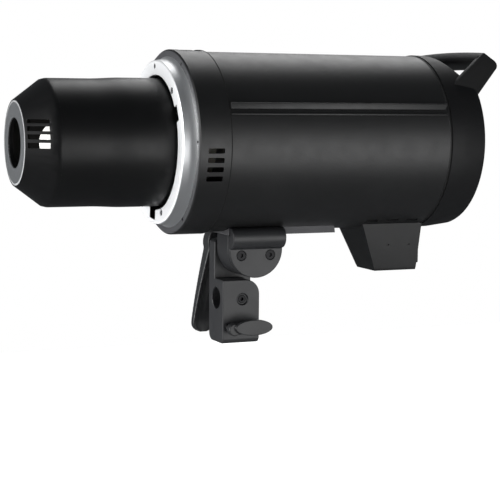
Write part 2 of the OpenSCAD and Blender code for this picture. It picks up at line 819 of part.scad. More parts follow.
module tilt_bolt() color(STEEL) {
    peg_x(-38, 12.1, tilt_at, bolt_r);
    peg_x(12, 17, tilt_at, 8);
}

module friction_washer() color("#8c8d90") difference() {
    peg_x(-2.85, -1.95, tilt_at, 9.5);
    peg_x(-4, 0, tilt_at, bolt_r + fit);
}

// The stand block seen from the front, with its lower corners rounded
module block_front() polygon(concat(
    arc([-block_half + 6, 6], 6, 270, 180, 8), [[-block_half, 90], [block_half, 90]],
    arc([block_half - 4, 4], 4, 360, 270, 8)
));

module block_side() polygon(concat(
    [[block_front_y, 0], [block_front_y, block_top_z]],
    arc([block_rear_y - 11, block_top_z - 11], 11, 90, 0, 12), [[block_rear_y, 0]]
));

module cheek_side() polygon(concat(
    [[block_front_y, 0], [block_front_y, 74.8], [-12.6, 76], [-0.5, 79.2]],
    arc(tilt_at, 10, 90, 0, 12), [[block_rear_y, 52], [block_rear_y, 0]]
));

module stand_block() color("#4c4d50") difference() {
    intersection() {
        union() {
            along_x(cheek_x - eps, block_half) block_side();
            along_x(-block_half, cheek_x) cheek_side();
        }
        translate([0, 30, 0]) rotate([90, 0, 0]) linear_extrude(60) block_front();
    }
    translate([0, 0, -1]) cylinder(r = socket_r, h = socket_depth + 1);
    translate([0, -20, cross_z]) rotate([-90, 0, 0]) cylinder(r = 8, h = 40);
    peg_x(4, block_half + 1, [1, cross_z], 2.6);
    peg_x(block_half - 1.4, block_half + 1, [1, cross_z], 4.2);
    peg_x(-12.8, block_half + 1, [pin_y, pin_z], pin_r + fit);
    peg_x(-20, 0, tilt_at, bolt_r + fit);
}

module cross_set_screw() color("#222223") difference() {
    peg_x(8.5, 12.9, [1, cross_z], 2.55);
    translate([10.6, 1, cross_z]) rotate([0, 90, 0]) cylinder(r = 1.5, h = 4, $fn = 6);
}

module cam_pin() color(STEEL) difference() {
    peg_x(-12.6, paddle_x - 0.2, [pin_y, pin_z], pin_r);
    block([-7.5, pin_y + 0.9, pin_z - 4], [7.5, pin_y + 4, pin_z + 4]);
}

paddle_at = [5.2, 13.3];
paddle_x = 24;
paddle_t = 3.8;

module stand_lock_lever() color("#38393b") difference() {
    union() {
        peg_x(paddle_x - 5, paddle_x + eps, [pin_y, pin_z], 4.8);
        along_x(paddle_x, paddle_x + paddle_t)
            polygon([for (i = [0 : 47]) paddle_at + [14.9 * cos(i * 7.5), 6 * sin(i * 7.5)]]);
        block([paddle_x - 3.4, pin_y, pin_z - 3], [paddle_x + eps, paddle_at[0] - 6, pin_z + 3.4]);
    }
    peg_x(paddle_x - 6, paddle_x - 0.1, [pin_y, pin_z], pin_r + 0.02);
}

module lever_outline() polygon(concat(
    arc([-7.5, 10], 9.3, 194, 354, 16),
    [[16.5, 60], [20, 66], [16, 82], [0, 84], [-7.4, 76], [-8.3, 68], [-7.4, 60]]
));

module tilt_lever() color("#3c3d40") difference() {
    union() {
        peg_x(-34, -block_half - 0.3, tilt_at, 8.4);
        intersection() {
            along_x(-46, -32.8) intersection() {
                lever_outline();
                union() {
                    translate(tilt_at) circle(r = 16);
                    translate([-40, -10]) square([70, 72]);
                }
            }
            translate([0, 60, 0]) rotate([90, 0, 0]) linear_extrude(120)
                polygon([[-46, -2], [-39, -2], [-32.8, 57], [-32.8, 95], [-42, 95], [-46, 80]]);
        }
    }
    peg_x(-43, -10, tilt_at, bolt_r + fit);
    peg_x(-47, -42.9, tilt_at, 6);
}

module lever_cap() color("#222223") peg_x(-46.2, -43, tilt_at, 5.9);

front_shell();
bayonet_ring();
bayonet_screws();
upper_casing();
lower_casing();
casing_screws();
rear_cap();
rear_cap_screws();
rear_panel();
display_window();
sync_jack();
slave_sensor_dome();
handle();
handle_screws();
reflector_pan();
flash_tube();
tube_base();
lamp_socket();
modelling_lamp();
chassis_plate();
capacitor_bank();
capacitor_strap();
power_board();
transformer();
heat_sink();
control_board();
fan_frame();
fan_rotor();
balance_rail();
rail_screws();
foot_housing();
foot_screws();
ac_inlet();
fuse_drawer();
release_slider();
release_spring();
control_dial();
menu_button(0);  // menu_button_1
menu_button(1);  // menu_button_2
menu_button(2);  // menu_button_3
menu_button(3);  // menu_button_4
test_button();
power_rocker();
rocker_housing();
trigger_coil();
cap_shell();
cap_face_ring();
tilt_quadrant();
jaw_plate();
jaw_screws();
tilt_bolt();
friction_washer();
stand_block();
cross_set_screw();
cam_pin();
stand_lock_lever();
tilt_lever();
lever_cap();
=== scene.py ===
"""Looks, studio and camera for a studio flash head with its transit cap and stand bracket."""
from __future__ import annotations

import logging
import math
from dataclasses import dataclass
from enum import Enum
from typing import Any, Iterable, Sequence, Union

import bmesh
import bpy
from mathutils import Matrix, Vector

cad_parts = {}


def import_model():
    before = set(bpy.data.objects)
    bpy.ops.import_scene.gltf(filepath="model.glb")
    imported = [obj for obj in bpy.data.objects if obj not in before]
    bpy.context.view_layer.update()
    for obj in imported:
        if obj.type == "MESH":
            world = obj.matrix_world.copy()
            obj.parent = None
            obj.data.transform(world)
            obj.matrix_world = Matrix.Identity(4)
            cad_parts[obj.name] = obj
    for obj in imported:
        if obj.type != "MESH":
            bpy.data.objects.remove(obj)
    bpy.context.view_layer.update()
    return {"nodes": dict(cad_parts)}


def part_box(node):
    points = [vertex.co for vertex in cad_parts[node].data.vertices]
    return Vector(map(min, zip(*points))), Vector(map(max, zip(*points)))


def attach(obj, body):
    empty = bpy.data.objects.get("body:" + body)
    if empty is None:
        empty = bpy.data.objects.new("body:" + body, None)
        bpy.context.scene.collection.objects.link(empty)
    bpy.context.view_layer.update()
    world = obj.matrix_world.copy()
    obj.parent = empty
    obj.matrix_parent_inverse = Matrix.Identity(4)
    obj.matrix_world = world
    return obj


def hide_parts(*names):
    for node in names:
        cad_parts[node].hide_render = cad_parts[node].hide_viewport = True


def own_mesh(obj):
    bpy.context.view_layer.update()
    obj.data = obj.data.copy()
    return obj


LOG = logging.getLogger("flash_head")
MM = 0.001
AXIS_Z = 149.0

Colour = tuple[float, float, float]
Point2 = tuple[float, float]
Point3 = tuple[float, float, float]


# ---------------------------------------------------------------- shader maths


class Wire:
    """A value inside a material's node tree that can be used in arithmetic."""

    def __init__(self, paint: "Paint", socket: bpy.types.NodeSocket) -> None:
        """Wraps a socket.

        Args:
            paint: The material under construction.
            socket: The output socket that holds the value.
        """
        self.paint = paint
        self.socket = socket

    def _maths(self, operation: str, *values: Union["Wire", float]) -> "Wire":
        """Adds one Math node.

        Args:
            operation: The node's operation.
            values: Its inputs, in order.

        Returns:
            The node's result.
        """
        inputs = dict(enumerate(values))
        return self.paint.node("ShaderNodeMath", {"operation": operation}, inputs)

    def __add__(self, other: Union["Wire", float]) -> "Wire":
        """Returns self + other."""
        return self._maths("ADD", self, other)

    def __radd__(self, other: float) -> "Wire":
        """Returns other + self."""
        return self._maths("ADD", other, self)

    def __sub__(self, other: Union["Wire", float]) -> "Wire":
        """Returns self - other."""
        return self._maths("SUBTRACT", self, other)

    def __rsub__(self, other: float) -> "Wire":
        """Returns other - self."""
        return self._maths("SUBTRACT", other, self)

    def __mul__(self, other: Union["Wire", float]) -> "Wire":
        """Returns self * other."""
        return self._maths("MULTIPLY", self, other)

    def __rmul__(self, other: float) -> "Wire":
        """Returns other * self."""
        return self._maths("MULTIPLY", other, self)

    def __truediv__(self, other: Union["Wire", float]) -> "Wire":
        """Returns self / other."""
        return self._maths("DIVIDE", self, other)

    def __pow__(self, other: float) -> "Wire":
        """Returns self raised to other."""
        return self._maths("POWER", self, other)

    def band(self, low: float, high: float) -> "Wire":
        """Maps self from a span onto 0 to 1.

        Args:
            low: The value that becomes 0, as does anything below it.
            high: The value that becomes 1, as does anything above it.

        Returns:
            The mapped value.
        """
        return self.paint.node(
            "ShaderNodeMapRange",
            {"clamp": True},
            {"Value": self, "From Min": low, "From Max": high},
        )


class Paint:
    """One procedural material while it is being mixed."""

    def __init__(self, name: str) -> None:
        """Starts a material that holds only a Principled shader.

        Args:
            name: The material's name.
        """
        self.material = bpy.data.materials.new(name)
        self.material.use_nodes = True
        self.tree = self.material.node_tree
        self.tree.nodes.clear()
        self.shader = self.tree.nodes.new("ShaderNodeBsdfPrincipled")
        output = self.tree.nodes.new("ShaderNodeOutputMaterial")
        self.tree.links.new(self.shader.outputs[0], output.inputs[0])

    def node(
        self,
        kind: str,
        settings: dict[str, Any] | None = None,
        inputs: dict[Union[str, int], Any] | None = None,
        output: Union[str, int] = 0,
    ) -> Wire:
        """Adds any node.

        Args:
            kind: The node's type.
            settings: Properties of the node, which are set first.
            inputs: Values or wires for its sockets, by name or by place.
            output: The socket to hand back.

        Returns:
            The chosen output.
        """
        made = self.tree.nodes.new(kind)
        for key, value in (settings or {}).items():
            setattr(made, key, value)
        for key, value in (inputs or {}).items():
            if isinstance(value, Wire):
                self.tree.links.new(value.socket, made.inputs[key])
            else:
                made.inputs[key].default_value = value
        return Wire(self, made.outputs[output])

    def place(self) -> Wire:
        """Returns the point on the piece, in metres in the shared frame."""
        return self.node("ShaderNodeTexCoord", output="Object")

    def axes(self, vector: Wire) -> tuple[Wire, Wire, Wire]:
        """Splits a vector.

        Args:
            vector: The vector.

        Returns:
            Its X, Y and Z.
        """
        split = self.node("ShaderNodeSeparateXYZ", inputs={0: vector})
        outs = split.socket.node.outputs
        return split, Wire(self, outs[1]), Wire(self, outs[2])

    def join(self, x: Union[Wire, float], y: Union[Wire, float], z: Union[Wire, float]) -> Wire:
        """Returns the vector made of three values."""
        return self.node("ShaderNodeCombineXYZ", inputs={0: x, 1: y, 2: z})

    def noise(self, vector: Wire, scale: float, detail: float = 2.0) -> Wire:
        """Adds soft noise.

        Args:
            vector: The point at which it is read.
            scale: How many features there are to the metre.
            detail: How many finer layers it has.

        Returns:
            A value from 0 to 1.
        """
        return self.node(
            "ShaderNodeTexNoise", inputs={"Vector": vector, "Scale": scale, "Detail": detail}
        )

    def tint(self, factor: Wire, low: Colour, high: Colour) -> Wire:
        """Mixes two fixed colours.

        Args:
            factor: How much of the second colour shows.
            low: The colour where factor is 0.
            high: The colour where factor is 1.

        Returns:
            The mixed colour.
        """
        return self.node(
            "ShaderNodeMix",
            {"data_type": "RGBA"},
            {0: factor, 6: (*low, 1.0), 7: (*high, 1.0)},
            output=2,
        )

    def blend(self, factor: Wire, under: Wire, over: Wire) -> Wire:
        """Mixes two colours that vary themselves.

        Args:
            factor: How much of the second colour shows.
            under: The colour where factor is 0.
            over: The colour where factor is 1.

        Returns:
            The mixed colour.
        """
        return self.node(
            "ShaderNodeMix", {"data_type": "RGBA"}, {0: factor, 6: under, 7: over}, output=2
        )

    @staticmethod
    def off_axis(x: Wire, z: Wire) -> Wire:
        """Returns the distance from the optical axis, in metres."""
        lift = z - AXIS_Z * MM
        return (x * x + lift * lift) ** 0.5

    def feed(self, socket: str, value: Any) -> None:
        """Sets or links one socket of the shader.

        Args:
            socket: The socket's name.
            value: A wire to link, or a constant to set.
        """
        if isinstance(value, Wire):
            self.tree.links.new(value.socket, self.shader.inputs[socket])
        else:
            self.shader.inputs[socket].default_value = value

    def bump(self, height: Wire, depth: float) -> None:
        """Gives the surface a fine relief.

        Args:
            height: The relief, from 0 to 1.
            depth: How far it rises where height is 1, in metres.
        """
        self.feed(
            "Normal", self.node("ShaderNodeBump", inputs={"Height": height, "Distance": depth})
        )


def lighter(colour: Colour, gain: float) -> Colour:
    """Returns a colour with its brightness multiplied."""
    return (colour[0] * gain, colour[1] * gain, colour[2] * gain)


# ---------------------------------------------------------------- finishes


@dataclass(frozen=True)
class Moulded:
    """Spark-textured moulded plastic.

    Where front_light_gain isn't 1, the rim in front of front_y and outside front_inner, both in
    metres,
    has its colour multiplied by it: painted light, standing in for the light that falls on the
    front face.
    """

    name: str
    colour: Colour
    roughness: float = 0.42
    grain: float = 1700.0
    depth: float = 0.00004
    specular: float = 0.5
    front_light_gain: float = 1.0
    front_y: float = -0.0535
    front_inner: float = 0.0588

    def make(self) -> bpy.types.Material:
        """Mixes the finish.

        Returns:
            The material.
        """
        paint = Paint(self.name)
        spot = paint.place()
        grain = paint.noise(spot, self.grain, 3.0)
        cloud = paint.noise(spot, 22.0, 4.0)
        smear = paint.noise(spot, 95.0, 3.0)
        shade = paint.tint(cloud, lighter(self.colour, 0.8), lighter(self.colour, 1.25))
        # Painted light: the front face's colour is raised to stand in for the light falling on it;
        # matt holds this lit colour, not a matt finish.
        if self.front_light_gain != 1.0:
            x, y, z = paint.axes(spot)
            outside = paint.off_axis(x, z).band(self.front_inner, self.front_inner + 0.0004)
            ahead = (y * -1.0).band(-self.front_y, 0.0004 - self.front_y) * outside
            face = lighter(self.colour, self.front_light_gain)
            matt = paint.tint(grain, lighter(face, 0.8), lighter(face, 1.2))
            shade = paint.blend(ahead, shade, matt)
        paint.feed("Base Color", shade)
        paint.feed("Roughness", (smear - 0.5) * 0.12 + (grain - 0.5) * 0.08 + self.roughness)
        paint.feed("Specular IOR Level", self.specular)
        paint.bump(grain, self.depth)
        return paint.material


@dataclass(frozen=True)
class Sided:
    """Moulded plastic whose flanks are matt and whose edges are smooth."""

    name: str
    colour: Colour
    smooth: float
    matt: float

    def make(self) -> bpy.types.Material:
        """Mixes the finish.

        Returns:
            The material.
        """
        paint = Paint(self.name)
        spot = paint.place()
        grain = paint.noise(spot, 1500.0, 3.0)
        cloud = paint.noise(spot, 30.0, 4.0)
        across = paint.axes(paint.node("ShaderNodeTexCoord", output="Normal"))[0]
        flank = (across * across).band(0.8, 0.95)
        paint.feed(
            "Base Color", paint.tint(cloud, lighter(self.colour, 0.8), lighter(self.colour, 1.25))
        )
        paint.feed("Roughness", flank * (self.matt - self.smooth) + grain * 0.06 + self.smooth)
        paint.bump(grain, 0.00005)
        return paint.material


@dataclass(frozen=True)
class Turned:
    """Metal turned on a lathe about the optical axis, with fine rings.

    The face in front of face_y may be less metallic, and the walls of the slot between
    slot_x and slot_z may carry painted shade, near-black for the shadow inside the slot. These
    places are in metres.
    """

    name: str
    colour: Colour
    roughness: float = 0.3
    metallic: float = 1.0
    face: float = 1.0
    slot_shade_painted: bool = False
    face_y: float = -0.0625
    slot_x: Point2 = (-0.0132, 0.0040)
    slot_z: Point2 = (0.0930, 0.1019)

    def make(self) -> bpy.types.Material:
        """Mixes the finish.

        Returns:
            The material.
        """
        paint = Paint(self.name)
        x, y, z = paint.axes(paint.place())
        rings = paint.noise(paint.join(paint.off_axis(x, z), y, 0.0), 5200.0, 3.0)
        cloud = paint.noise(paint.place(), 40.0, 3.0)
        shade = paint.tint(cloud, lighter(self.colour, 0.93), lighter(self.colour, 1.04))
        # Painted shade: the slot's walls are darkened to near-black to stand in for the shadow
        # inside the slot.
        if self.slot_shade_painted:
            soft = 0.0002
            slot = y.band(-0.0631, -0.0631 + soft)
            for axis, (low, high) in ((x, self.slot_x), (z, self.slot_z)):
                slot = slot * axis.band(low, low + soft) * (1.0 - axis.band(high, high + soft))
            painted_slot_shadow = paint.tint(cloud, (0.004, 0.004, 0.004), (0.007, 0.007, 0.007))
            shade = paint.blend(slot, shade, painted_slot_shadow)
        paint.feed("Base Color", shade)
        if self.face != self.metallic:
            ahead = (y * -1.0).band(-self.face_y, 0.0004 - self.face_y)
            paint.feed("Metallic", self.metallic - ahead * (self.metallic - self.face))
        else:
            paint.feed("Metallic", self.metallic)
        paint.feed("Roughness", (rings - 0.5) * 0.22 + (cloud - 0.5) * 0.08 + self.roughness)
        paint.bump(rings, 0.000012)
        return paint.material


@dataclass(frozen=True)
class Coated:
    """Cast metal under a textured powder coat."""

    name: str
    colour: Colour
    roughness: float = 0.45
    metallic: float = 0.0

    def make(self) -> bpy.types.Material:
        """Mixes the finish.

        Returns:
            The material.
        """
        paint = Paint(self.name)
        spot = paint.place()
        orange_peel = paint.noise(spot, 900.0, 2.0)
        fleck = paint.noise(spot, 2600.0, 2.0)
        cloud = paint.noise(spot, 60.0, 4.0)
        paint.feed(
            "Base Color", paint.tint(cloud, lighter(self.colour, 0.85), lighter(self.colour, 1.2))
        )
        paint.feed("Metallic", self.metallic)
        paint.feed("Roughness", (cloud - 0.5) * 0.14 + (fleck - 0.5) * 0.1 + self.roughness)
        paint.bump(orange_peel * 0.6 + fleck * 0.4, 0.00005)
        return paint.material


@dataclass(frozen=True)
class Plated:
    """Drawn or plated steel with fine lengthwise scratches."""

    name: str
    colour: Colour
    roughness: float = 0.28
    along: Point3 = (1.0, 1.0, 1.0)

    def make(self) -> bpy.types.Material:
        """Mixes the finish.

        Returns:
            The material.
        """
        paint = Paint(self.name)
        x, y, z = paint.axes(paint.place())
        ax, ay, az = self.along
        drawn = paint.noise(paint.join(x * ax, y * ay, z * az), 2400.0, 3.0)
        cloud = paint.noise(paint.place(), 130.0, 3.0)
        paint.feed(
            "Base Color", paint.tint(cloud, lighter(self.colour, 0.85), lighter(self.colour, 1.05))
        )
        paint.feed("Metallic", 1.0)
        paint.feed("Roughness", (drawn - 0.5) * 0.2 + (cloud - 0.5) * 0.1 + self.roughness)
        paint.bump(drawn, 0.00001)
        return paint.material


@dataclass(frozen=True)
class Glazed:
    """Glass, clear or frosted."""

    name: str
    colour: Colour
    roughness: float = 0.02
    transmission: float = 1.0

    def make(self) -> bpy.types.Material:
        """Mixes the finish.

        Returns:
            The material.
        """
        paint = Paint(self.name)
        haze = paint.noise(paint.place(), 300.0, 2.0)
        paint.feed("Base Color", (*self.colour, 1.0))
        paint.feed("Transmission Weight", self.transmission)
        paint.feed("IOR", 1.47)
        paint.feed("Roughness", haze * 0.05 + self.roughness)
        return paint.material


@dataclass(frozen=True)
class Glowing:
    """Frosted lamp glass with a soft glow that fades towards its tip and base."""

    name: str
    colour: Colour
    roughness: float = 0.5
    glow: float = 0.8
    middle: float = -0.118
    reach: float = 0.045

    def make(self) -> bpy.types.Material:
        """Mixes the finish.

        Returns:
            The material.
        """
        paint = Paint(self.name)
        spot = paint.place()
        frost = paint.noise(spot, 900.0, 3.0)
        along = paint.axes(spot)[1] - self.middle
        fade = 1.0 - (along * along / self.reach ** 2).band(0.0, 1.0)
        paint.feed("Base Color", paint.tint(frost, lighter(self.colour, 0.95), self.colour))
        paint.feed("Roughness", frost * 0.1 + self.roughness)
        paint.feed("Emission Color", paint.tint(fade, (0.25, 0.24, 0.22), (1.0, 0.97, 0.92)))
        paint.feed("Emission Strength", self.glow)
        paint.bump(frost, 0.00002)
        return paint.material


@dataclass(frozen=True)
class Board:
    """Circuit board under solder resist, with tracks and pads."""

    name: str
    colour: Colour
    track: Colour

    def make(self) -> bpy.types.Material:
        """Mixes the finish.

        Returns:
            The material.
        """
        paint = Paint(self.name)
        spot = paint.place()
        tracks = paint.node(
            "ShaderNodeTexBrick",
            {"offset": 0.37, "squash": 1.4},
            {"Vector": spot, "Scale": 240.0, "Mortar Size": 0.07, "Mortar Smooth": 0.1},
            output="Fac",
        )
        pads = paint.node(
            "ShaderNodeTexVoronoi", inputs={"Vector": spot, "Scale": 330.0}, output="Distance"
        )
        copper = tracks * 0.6 + (0.22 - pads).band(0.0, 0.05) * 0.9
        paint.feed("Base Color", paint.tint(copper.band(0.0, 1.0), self.colour, self.track))
        paint.feed("Roughness", 0.42 - copper.band(0.0, 1.0) * 0.12)
        paint.bump(copper, 0.00004)
        return paint.material


@dataclass(frozen=True)
class Wound:
    """Enamelled wire laid in tight turns."""

    name: str
    colour: Colour

    def make(self) -> bpy.types.Material:
        """Mixes the finish.

        Returns:
            The material.
        """
        paint = Paint(self.name)
        turns = paint.node(
            "ShaderNodeTexWave",
            {"wave_type": "BANDS", "bands_direction": "Z"},
            {"Vector": paint.place(), "Scale": 260.0, "Distortion": 0.3, "Detail": 1.0},
        )
        paint.feed("Base Color", paint.tint(turns, lighter(self.colour, 0.35), self.colour))
        paint.feed("Metallic", 0.6)
        paint.feed("Roughness", 0.5 - turns * 0.2)
        paint.bump(turns, 0.0002)
        return paint.material


class Look(Enum):
    """Every finish on the object."""

    CASING = Moulded("casing_plastic", (0.006, 0.0061, 0.0065), 0.43, 1500.0, 0.00005)
    SHELL = Moulded("shell_plastic", (0.0055, 0.0056, 0.006), 0.42, 1500.0, 0.00005, 0.5, 8.0)
    CAP = Moulded("cap_plastic", (0.0032, 0.0033, 0.0036), 0.39, 1900.0, 0.00002, 0.27)
    CAP_FACE = Moulded("cap_face_plastic", (0.066, 0.069, 0.072), 0.36, 1900.0, 0.00003)
    CAP_RIM_HIGHLIGHT = Moulded("cap_rim_painted_highlight", (0.3, 0.305, 0.31), 0.3, 1900.0, 0.00002)
    BACK = Moulded("rear_cap_plastic", (0.005, 0.0051, 0.0057), 0.5, 1500.0, 0.00005, 0.24)
    PANEL = Moulded("panel_plastic", (0.0065, 0.0065, 0.007), 0.5, 1300.0, 0.00006)
    GRIP = Sided("handle_plastic", (0.0045, 0.0046, 0.005), 0.42, 0.95)
    BUTTON = Moulded("button_rubber", (0.05, 0.05, 0.054), 0.6, 2300.0, 0.00003)
    RED = Moulded("test_button_plastic", (0.42, 0.025, 0.015), 0.38, 1900.0, 0.00002)
    LEVER = Moulded("lever_plastic", (0.011, 0.0115, 0.0125), 0.44, 1200.0, 0.00005)
    DARK = Moulded("painted_seam_shadow", (0.004, 0.004, 0.004), 0.8, 700.0, 0.00012)
    MARK = Moulded("printed_mark", (0.62, 0.62, 0.6), 0.5, 2600.0, 0.00001)
    CERAMIC = Moulded("fired_ceramic", (0.66, 0.63, 0.56), 0.6, 1400.0, 0.00008)
    SLEEVE = Moulded("shrink_sleeve", (0.012, 0.02, 0.05), 0.32, 500.0, 0.00004)
    RING = Turned("turned_aluminium", (0.8, 0.81, 0.82), 0.4, 0.96, 0.25, True)
    REFLECTOR = Turned("spun_reflector", (0.82, 0.82, 0.81), 0.16)
    BRACKET = Coated("bracket_coat", (0.014, 0.0145, 0.016), 0.46)
    RAIL = Coated("rail_anodised", (0.12, 0.12, 0.125), 0.4, 0.6)
    STEEL = Plated("plated_steel", (0.66, 0.67, 0.68), 0.25, (0.05, 1.0, 1.0))
    BLACK_STEEL = Plated("blackened_steel", (0.02, 0.02, 0.021), 0.42, (1.0, 1.0, 0.2))
    LAMP = Glowing("lamp_glass", (0.82, 0.82, 0.8), 0.4, 0.42)
    CLEAR = Glazed("quartz_tube", (0.95, 0.96, 0.97), 0.03, 0.95)
    SENSOR = Glazed("sensor_dome", (0.28, 0.012, 0.008), 0.05, 0.35)
    WINDOW = Glazed("display_window", (0.012, 0.016, 0.02), 0.05, 0.0)
    BOARD = Board("circuit_board", (0.006, 0.07, 0.03), (0.03, 0.16, 0.06))
    COPPER = Wound("copper_winding", (0.55, 0.26, 0.1))


_MADE: dict[Look, bpy.types.Material] = {}


def material(look: Look) -> bpy.types.Material:
    """Finds a finish's material, and makes it on the first call.

    Args:
        look: The finish.

    Returns:
        The material.
    """
    if look not in _MADE:
        _MADE[look] = look.value.make()
    return _MADE[look]


# ---------------------------------------------------------------- mesh work


def metres(points: Iterable[Sequence[float]]) -> list[Vector]:
    """Returns points given in millimetres as vectors in metres."""
    return [Vector([c * MM for c in point]) for point in points]


def arc(centre: Point2, radius: float, start: float, stop: float, steps: int) -> list[Point2]:
    """Returns points along an arc.

    Args:
        centre: The arc's centre, in millimetres.
        radius: Its radius, in millimetres.
        start: The first angle, in degrees.
        stop: The last angle, in degrees.
        steps: How many chords it has.

    Returns:
        steps + 1 points.
    """
    turns = [math.radians(start + (stop - start) * i / steps) for i in range(steps + 1)]
    return [(centre[0] + radius * math.cos(t), centre[1] + radius * math.sin(t)) for t in turns]


def smooth(piece: bpy.types.Object, angle: float = 35.0) -> None:
    """Shades a piece smooth.

    Args:
        piece: The piece.
        angle: Edges sharper than this stay crisp, in degrees.
    """
    mesh = piece.data
    mesh.polygons.foreach_set("use_smooth", [True] * len(mesh.polygons))
    work = bmesh.new()
    work.from_mesh(mesh)
    for edge in work.edges:
        if len(edge.link_faces) == 2:
            edge.smooth = edge.calc_face_angle(0.0) < math.radians(angle)
    work.to_mesh(mesh)
    work.free()


def finish_piece(
    work: bmesh.types.BMesh, name: str, body: str, look: Look, angle: float = 35.0
) -> bpy.types.Object:
    """Turns a bmesh into a shown piece on a body.

    Args:
        work: The mesh, in metres; it is freed.
        name: The piece's name.
        body: The body it moves with.
        look: Its finish.
        angle: Edges sharper than this stay crisp.

    Returns:
        The piece.
    """
    bmesh.ops.recalc_face_normals(work, faces=work.faces)
    mesh = bpy.data.meshes.new(name)
    work.to_mesh(mesh)
    work.free()
    mesh.materials.append(material(look))
    piece = bpy.data.objects.new(name, mesh)
    bpy.context.scene.collection.objects.link(piece)
    smooth(piece, angle)
    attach(piece, body)
    LOG.info("%s: %d faces, on %s", name, len(mesh.polygons), body)
    return piece


def loft(work: bmesh.types.BMesh, rings: Sequence[Sequence[Vector]]) -> None:
    """Skins rings of equal length and closes the first and the last with a face.

    Args:
        work: The mesh that takes the faces.
        rings: Closed rings of points, in order.
    """
    rows = [[work.verts.new(p) for p in ring] for ring in rings]
    count = len(rows[0])
    for low, high in zip(rows, rows[1:]):
        for i in range(count):
            j = (i + 1) % count
            work.faces.new((low[i], low[j], high[j], high[i]))
    work.faces.new(list(reversed(rows[0])))
    work.faces.new(rows[-1])


def turned(work: bmesh.types.BMesh, profile: Sequence[Point2], segments: int = 160) -> None:
    """Revolves a profile of (radius, Y) points about the optical axis, and closes it.

    Args:
        work: The mesh that takes the faces.
        profile: The outline, in millimetres; its last point joins its first.
        segments: Facets round the axis.
    """
    rows = []
    for k in range(segments):
        t = 2 * math.pi * k / segments
        ring = metres([(r * math.cos(t), y, AXIS_Z + r * math.sin(t)) for r, y in profile])
        rows.append([work.verts.new(point) for point in ring])
    count = len(profile)
    for k in range(segments):
        a, b = rows[k], rows[(k + 1) % segments]
        for i in range(count):
            j = (i + 1) % count
            work.faces.new((a[i], a[j], b[j], b[i]))
    bmesh.ops.remove_doubles(work, verts=work.verts, dist=1e-6)


class Along(Enum):
    """The axis that an outline is extruded along."""

    X = 0
    Y = 1


def slab(
    work: bmesh.types.BMesh, outline: Sequence[Point2], span: Point2, along: Along = Along.X
) -> None:
    """Extrudes an outline between two stations.

    Args:
        work: The mesh that takes the faces.
        outline: The closed outline in the two other axes, in millimetres.
        span: The two stations, in millimetres.
        along: The axis it is extruded along.
    """

    def at(point: Point2, station: float) -> Vector:
        """Places one corner of the outline.

        Args:
            point: The corner, in millimetres.
            station: Its place along the axis, in millimetres.

        Returns:
            The corner, in metres.
        """
        coords = list(point)
        coords.insert(along.value, station)
        return Vector(coords) * MM

    loft(work, [[at(p, s) for p in outline] for s in span])


def bevel_all(
    work: bmesh.types.BMesh, width: float, segments: int = 3, angle: float = 30.0
) -> None:
    """Rounds every edge sharper than an angle.

    Args:
        work: The mesh.
        width: The bevel's width, in millimetres.
        segments: Its segments.
        angle: The least angle that is rounded, in degrees.
    """
    bmesh.ops.recalc_face_normals(work, faces=work.faces)
    edges = [
        e
        for e in work.edges
        if len(e.link_faces) == 2 and e.calc_face_angle(0.0) > math.radians(angle)
    ]
    bmesh.ops.bevel(
        work,
        geom=edges,
        offset=width * MM,
        offset_type="OFFSET",
        segments=segments,
        profile=0.5,
        affect="EDGES",
        clamp_overlap=True,
    )


def oblong(centre: Point2, size: Point2, radius: float, steps: int = 5) -> list[Point2]:
    """Returns a rounded rectangle's outline.

    Args:
        centre: Its middle, in millimetres.
        size: Its full width and height, in millimetres.
        radius: The corners' radius, in millimetres.
        steps: How many chords each corner has.

    Returns:
        The outline's points.
    """
    cx, cy = centre
    hx, hy = size[0] / 2 - radius, size[1] / 2 - radius
    points: list[Point2] = []
    corners = ((hx, hy, 0.0), (-hx, hy, 90.0), (-hx, -hy, 180.0), (hx, -hy, 270.0))
    for dx, dy, start in corners:
        points += arc((cx + dx, cy + dy), radius, start, start + 90.0, steps)
    return points


def dress(nodes: dict[str, bpy.types.Object], look: Look, *names: str) -> None:
    """Gives CAD nodes a finish.

    Args:
        nodes: The CAD nodes by name.
        look: The finish.
        names: The nodes that get it.
    """
    for name in names:
        for place in nodes[name].material_slots:
            place.material = material(look)
        LOG.info("%s: %s", name, look.value.name)


def soften(
    nodes: dict[str, bpy.types.Object], width: float, *names: str, clamp: bool = True
) -> None:
    """Rounds the edges of CAD nodes with modifiers.

    Args:
        nodes: The CAD nodes by name.
        width: The rounding's width, in millimetres.
        names: The nodes to round.
        clamp: Whether short edges hold the rounding back.
    """
    for name in names:
        piece = nodes[name]
        weld = piece.modifiers.new("join", "WELD")
        weld.merge_threshold = 2e-6
        flat = piece.modifiers.new("flatten", "DECIMATE")
        flat.decimate_type = "DISSOLVE"
        flat.angle_limit = math.radians(0.4)
        edge = piece.modifiers.new("round", "BEVEL")
        edge.width = width * MM
        edge.segments = 3
        edge.limit_method = "ANGLE"
        edge.angle_limit = math.radians(32.0)
        edge.use_clamp_overlap = clamp
        edge.harden_normals = True
        even = piece.modifiers.new("shade", "WEIGHTED_NORMAL")
        even.keep_sharp = False
        LOG.info("%s: edges rounded %.2f mm", name, width)


